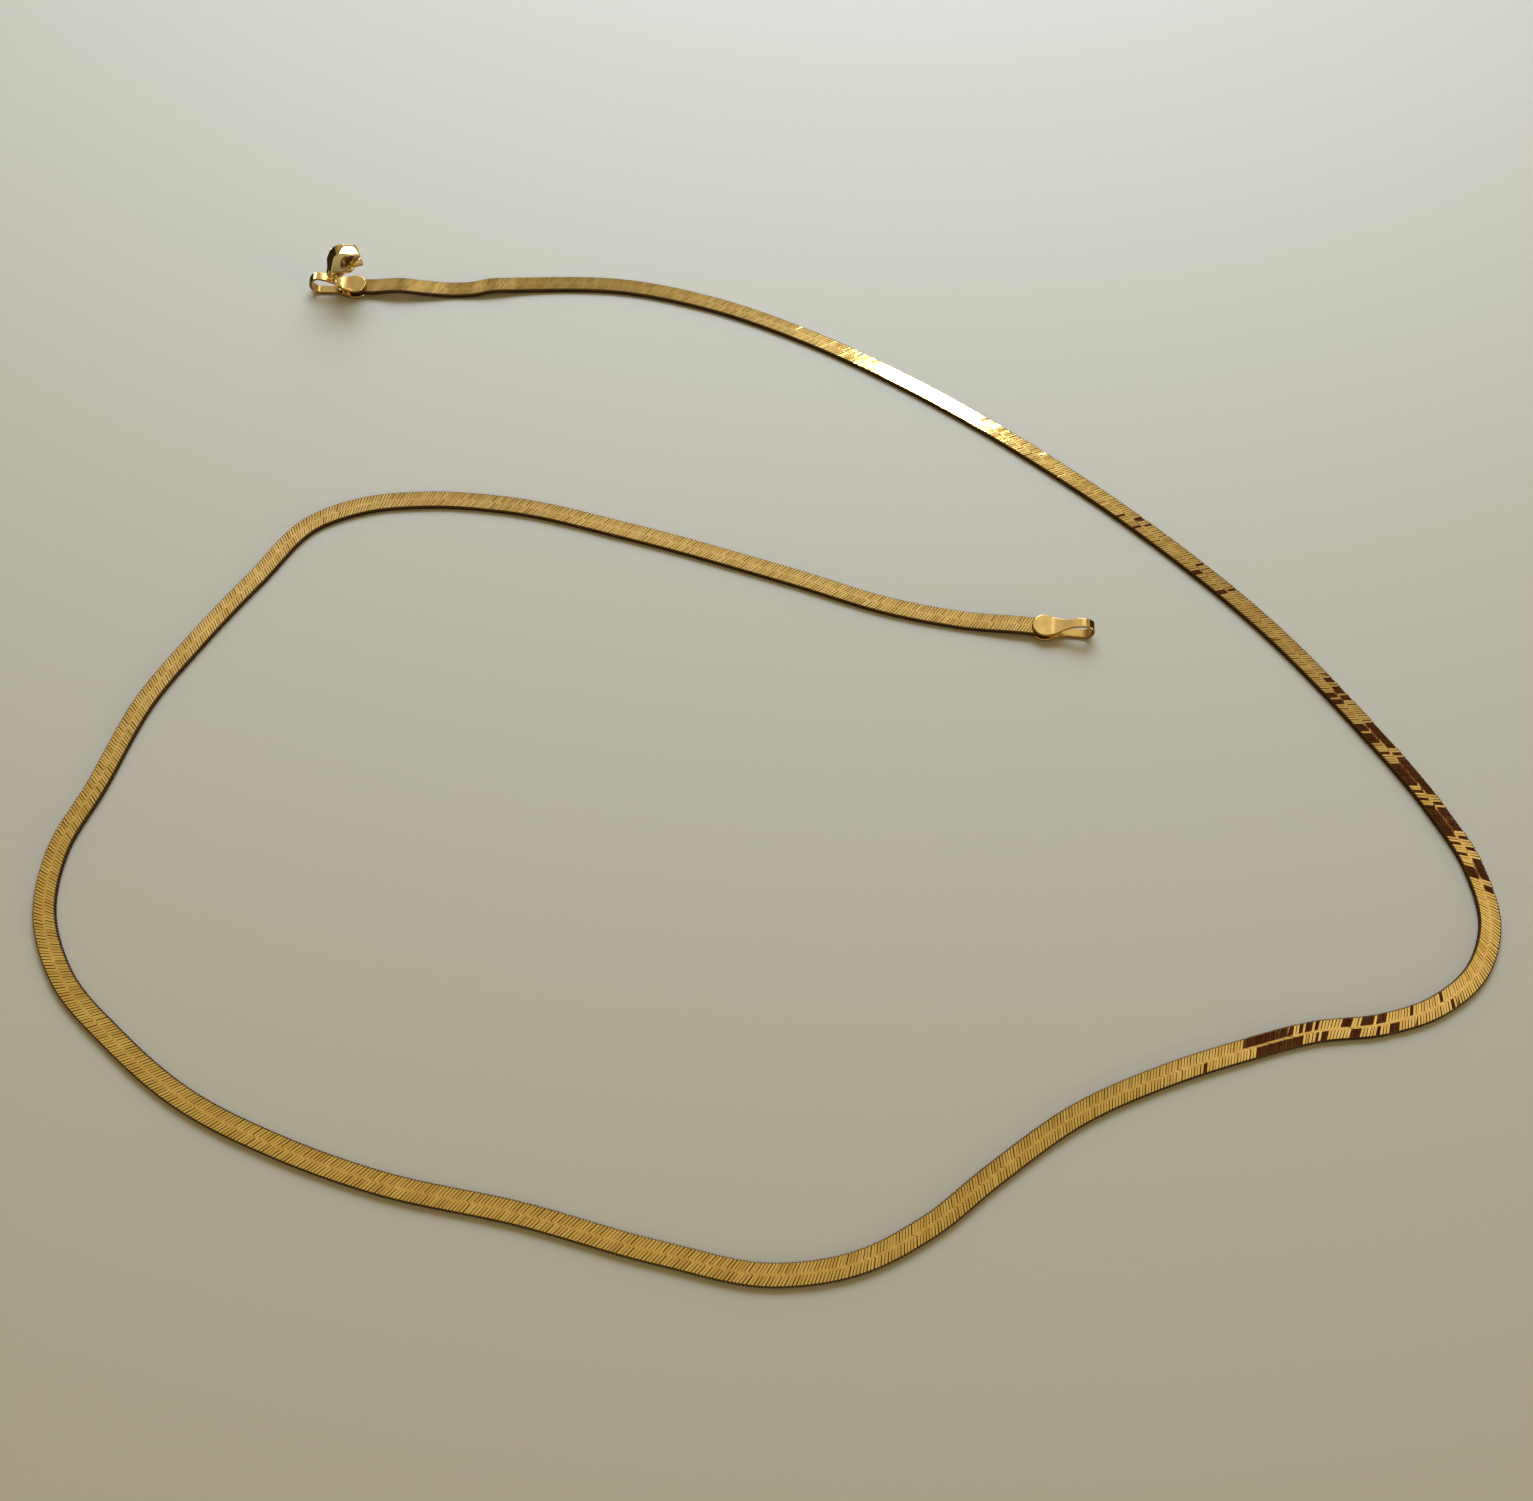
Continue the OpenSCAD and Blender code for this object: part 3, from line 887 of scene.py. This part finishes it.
# %% Sky
FRONT_TO_BACK = [
    (0.0, (0.54, 0.46, 0.26)), (0.2, (0.55, 0.47, 0.26)), (0.35, (0.55, 0.48, 0.29)),
    (0.5, (0.66, 0.61, 0.50)), (0.6, (0.64, 0.61, 0.52)), (0.72, (0.42, 0.40, 0.36)),
]
HIGH_PATCHES = [
    ((-0.20, 0.585, 0.785), 5, 12, (0.74, 0.69, 0.60, 1)),
    ((-0.22, 0.68, 0.70), 6, 4, (0.44, 0.41, 0.33, 1)),
    ((0.24, 0.575, 0.78), 4, 6, (0.78, 0.72, 0.57, 1)),
    ((0.42, 0.41, 0.81), 8, 8, (0.82, 0.71, 0.50, 1)),
    ((0.318, 0.514, 0.796), 3, 7, (0.50, 0.44, 0.33, 1)),
    ((0.079, 0.657, 0.748), 2, 5, (1.0, 0.98, 0.92, 1)),
]
LIGHT_PATCHES = [
    ((0, 0.95, 0.31), 14, 4, (3.4, 3.3, 2.9, 1)),
    ((0.90, -0.39, 0.26), 9, 3, (6.0, 6.0, 5.7, 1)),
]
FRONT_DIM = (0.30, 0.26, 0.17, 1)
LOW_DIM = (0.32, 0.30, 0.25, 1)
SIDE_DIM = (0.24, 0.22, 0.18, 1)
FRONT_EDGE = (-0.35, 0.04)
LOW_EDGE = (0.12, 0.42)
LEFT_EDGE = (-0.72, -0.54)
RIGHT_EDGE = (0.60, 0.74)
BACKDROP = (0.60, 0.585, 0.54, 1)

sky = bpy.data.worlds.new("soft_sky")
bpy.context.scene.world = sky
sky_tree = opened(sky)
direction = sky_tree.node("TexCoord", out="Generated")
rightwards, away, height = (
    sky_tree.node("SeparateXYZ", None, {"Vector": direction}, out=axis) for axis in "XYZ"
)


def eased(value, start, stop):
    """0 before start, 1 after stop, and a smooth rise between them."""
    return value.node(
        "MapRange", {"interpolation_type": "SMOOTHSTEP"},
        {"Value": value, "From Min": start, "From Max": stop, "To Min": 0.0, "To Max": 1.0},
    )


def patch(heading, radius_deg, soft_deg):
    """1 within a radius of a direction, fading to 0 over the soft rim."""
    near = sky_tree.node(
        "VectorMath", {"operation": "DOT_PRODUCT"},
        {0: direction, 1: Vector(heading).normalized()}, "Value",
    )
    rim = math.cos(math.radians(radius_deg + soft_deg))
    return eased(near, rim, math.cos(math.radians(radius_deg)))


light = away.node("ValToRGB", {"stops": FRONT_TO_BACK}, {"Fac": away})
for heading, radius, soft, colour in HIGH_PATCHES:
    light = patch(heading, radius, soft).mix(light, colour)
light = (1 - eased(away, *FRONT_EDGE)).mix(light, FRONT_DIM)
light = (1 - eased(height, *LOW_EDGE)).mix(light, LOW_DIM)
light = (1 - eased(rightwards, *LEFT_EDGE)).mix(light, SIDE_DIM)
light = eased(rightwards, *RIGHT_EDGE).mix(light, SIDE_DIM)
for heading, radius, soft, colour in LIGHT_PATCHES:
    light = patch(heading, radius, soft).mix(light, colour)
glow = sky_tree.node("Background", None, {"Color": light, "Strength": 1.0})
plain = sky_tree.node("Background", None, {"Color": BACKDROP, "Strength": 1.0})
seen = sky_tree.node("LightPath", out="Is Camera Ray")
shown = sky_tree.node("MixShader", None, {0: seen, 1: glow, 2: plain})
sky_tree.node("OutputWorld", None, {"Surface": shown})
print("sky nodes:", len(sky.node_tree.nodes))

# %% [markdown]
# Two lamps light the floor: a large cool one low at the back, whose light falls off
# towards the camera, and a weak warm one overhead. The gold doesn't mirror them, so
# that what it mirrors stays the sky and the cards below.


# %% Lamps
def lamp(name, place, toward, size, watts, colour, spread_deg=180):
    """A rectangular lamp at a place, turned towards a point."""
    made = bpy.data.objects.new(name, bpy.data.lights.new(name, "AREA"))
    bpy.context.scene.collection.objects.link(made)
    made.data.shape = "RECTANGLE"
    made.data.size, made.data.size_y = size
    made.data.energy = watts
    made.data.color = colour
    made.location = place
    made.rotation_mode = "QUATERNION"
    made.rotation_quaternion = (Vector(place) - Vector(toward)).to_track_quat("Z", "Y")
    made.data.spread = math.radians(spread_deg)
    made.visible_glossy = False
    return made


window_lamp = lamp(
    "window_lamp", place=(0.0, 0.33, 0.30), toward=(0, 0.16, 0), size=(0.4, 0.24),
    watts=1.38, colour=(0.57, 0.78, 1.52), spread_deg=110,
)
room_lamp = lamp(
    "room_lamp", place=(0, -0.1, 1.0), toward=(0, 0, 0), size=(0.8, 0.8),
    watts=0.3, colour=(1, 0.70, 0.20),
)
print("lamps:", round(window_lamp.data.energy, 2), round(room_lamp.data.energy, 2), "watts")

# %% [markdown]
# A level mirror shows a card where the line from the camera's mirror image below the
# floor passes through it. So a large card is given by the stretch of band that shows
# it, as two distances along the route, and its corners are moved up along those
# lines. A bright one, the window, makes the white glare on the upper right stretch. A
# dark one hangs beside the band's own mirror image, where the level bars don't show it
# and the outward-leaning bars do. Four small cards stand close to the ends: two dark
# ones and a small bright one for the clasp and its tab, and a dark one for the fold of
# the plain tab. No card is seen by the camera itself, and none casts a shadow.

# %% Cards that the gold mirrors
CARD_HEIGHT = 0.5
WINDOW = (24, 24, 22)
REFLECTOR = (7, 7, 6.6)
SHADE = (0.07, 0.024, 0.022)
DIM = (0.03, 0.02, 0.015)
camera_mirrored = Vector(camera.location) * Vector((1, 1, -1))
rise = (CARD_HEIGHT - camera_mirrored.z) / -camera_mirrored.z


def card(name, steps, place, radiance):
    """A glowing card: a strip of steps whose corners place(along, side) gives."""
    bm = bmesh.new()
    bmesh.ops.create_grid(bm, x_segments=steps, y_segments=1, size=0.5)
    for v in bm.verts:
        v.co = place(v.co.x + 0.5, v.co.y + 0.5)
    mesh = bpy.data.meshes.new(name)
    bm.to_mesh(mesh)
    bm.free()
    made = bpy.data.objects.new(name, mesh)
    bpy.context.scene.collection.objects.link(made)
    paint = bpy.data.materials.new(name)
    tree = opened(paint)
    glow = tree.node("Emission", None, {"Color": (*radiance, 1), "Strength": 1.0})
    tree.node("OutputMaterial", None, {"Surface": glow})
    mesh.materials.append(paint)
    made.visible_camera = False
    made.visible_diffuse = False
    made.visible_shadow = False


def over_band(start, stop, inner, outer):
    """Corners high above, mirrored by the band from start to stop at a reach to its left."""
    def place(along, side):
        foot, _, across = along_route(np.array([start + (stop - start) * along]))
        reach = inner + (outer - inner) * side
        shown = Vector(foot[0] - middle + across[0] * reach) * MM
        return camera_mirrored + (shown - camera_mirrored) * rise
    return place


def beside(centre, half, facing):
    """Corners of a square card round a centre, which faces a heading."""
    turned = Vector(facing).to_track_quat("Z", "Y")
    return lambda along, side: (
        Vector(centre) * MM + turned @ Vector((2 * along - 1, 2 * side - 1, 0)) * half * MM
    )


card("window_card", 8, over_band(86.8, 105.0, inner=-14, outer=14), WINDOW)
card("shade_card", 53, over_band(126, 264, inner=11, outer=52), SHADE)
card("clasp_shade", 1, beside((-85, 71, 8), half=8, facing=(1, 0, 0)), DIM)
card("clasp_ground", 1, beside((-84.5, 73, 0.1), half=5, facing=(0, 0, 1)), DIM)
card("clasp_spark", 1, beside((-83, 75.5, 7), half=1.3, facing=(0.6, -0.6, -0.5)), REFLECTOR)
card("tab_shade", 1, beside((47.5, 16, 4), half=4, facing=(-1, 0, 0)), DIM)
print("two bright cards and four dark cards")

# %% [markdown]
# The Standard view shows colours as they are, without a film curve.

# %% Picture colours
bpy.context.scene.view_settings.view_transform = "Standard"
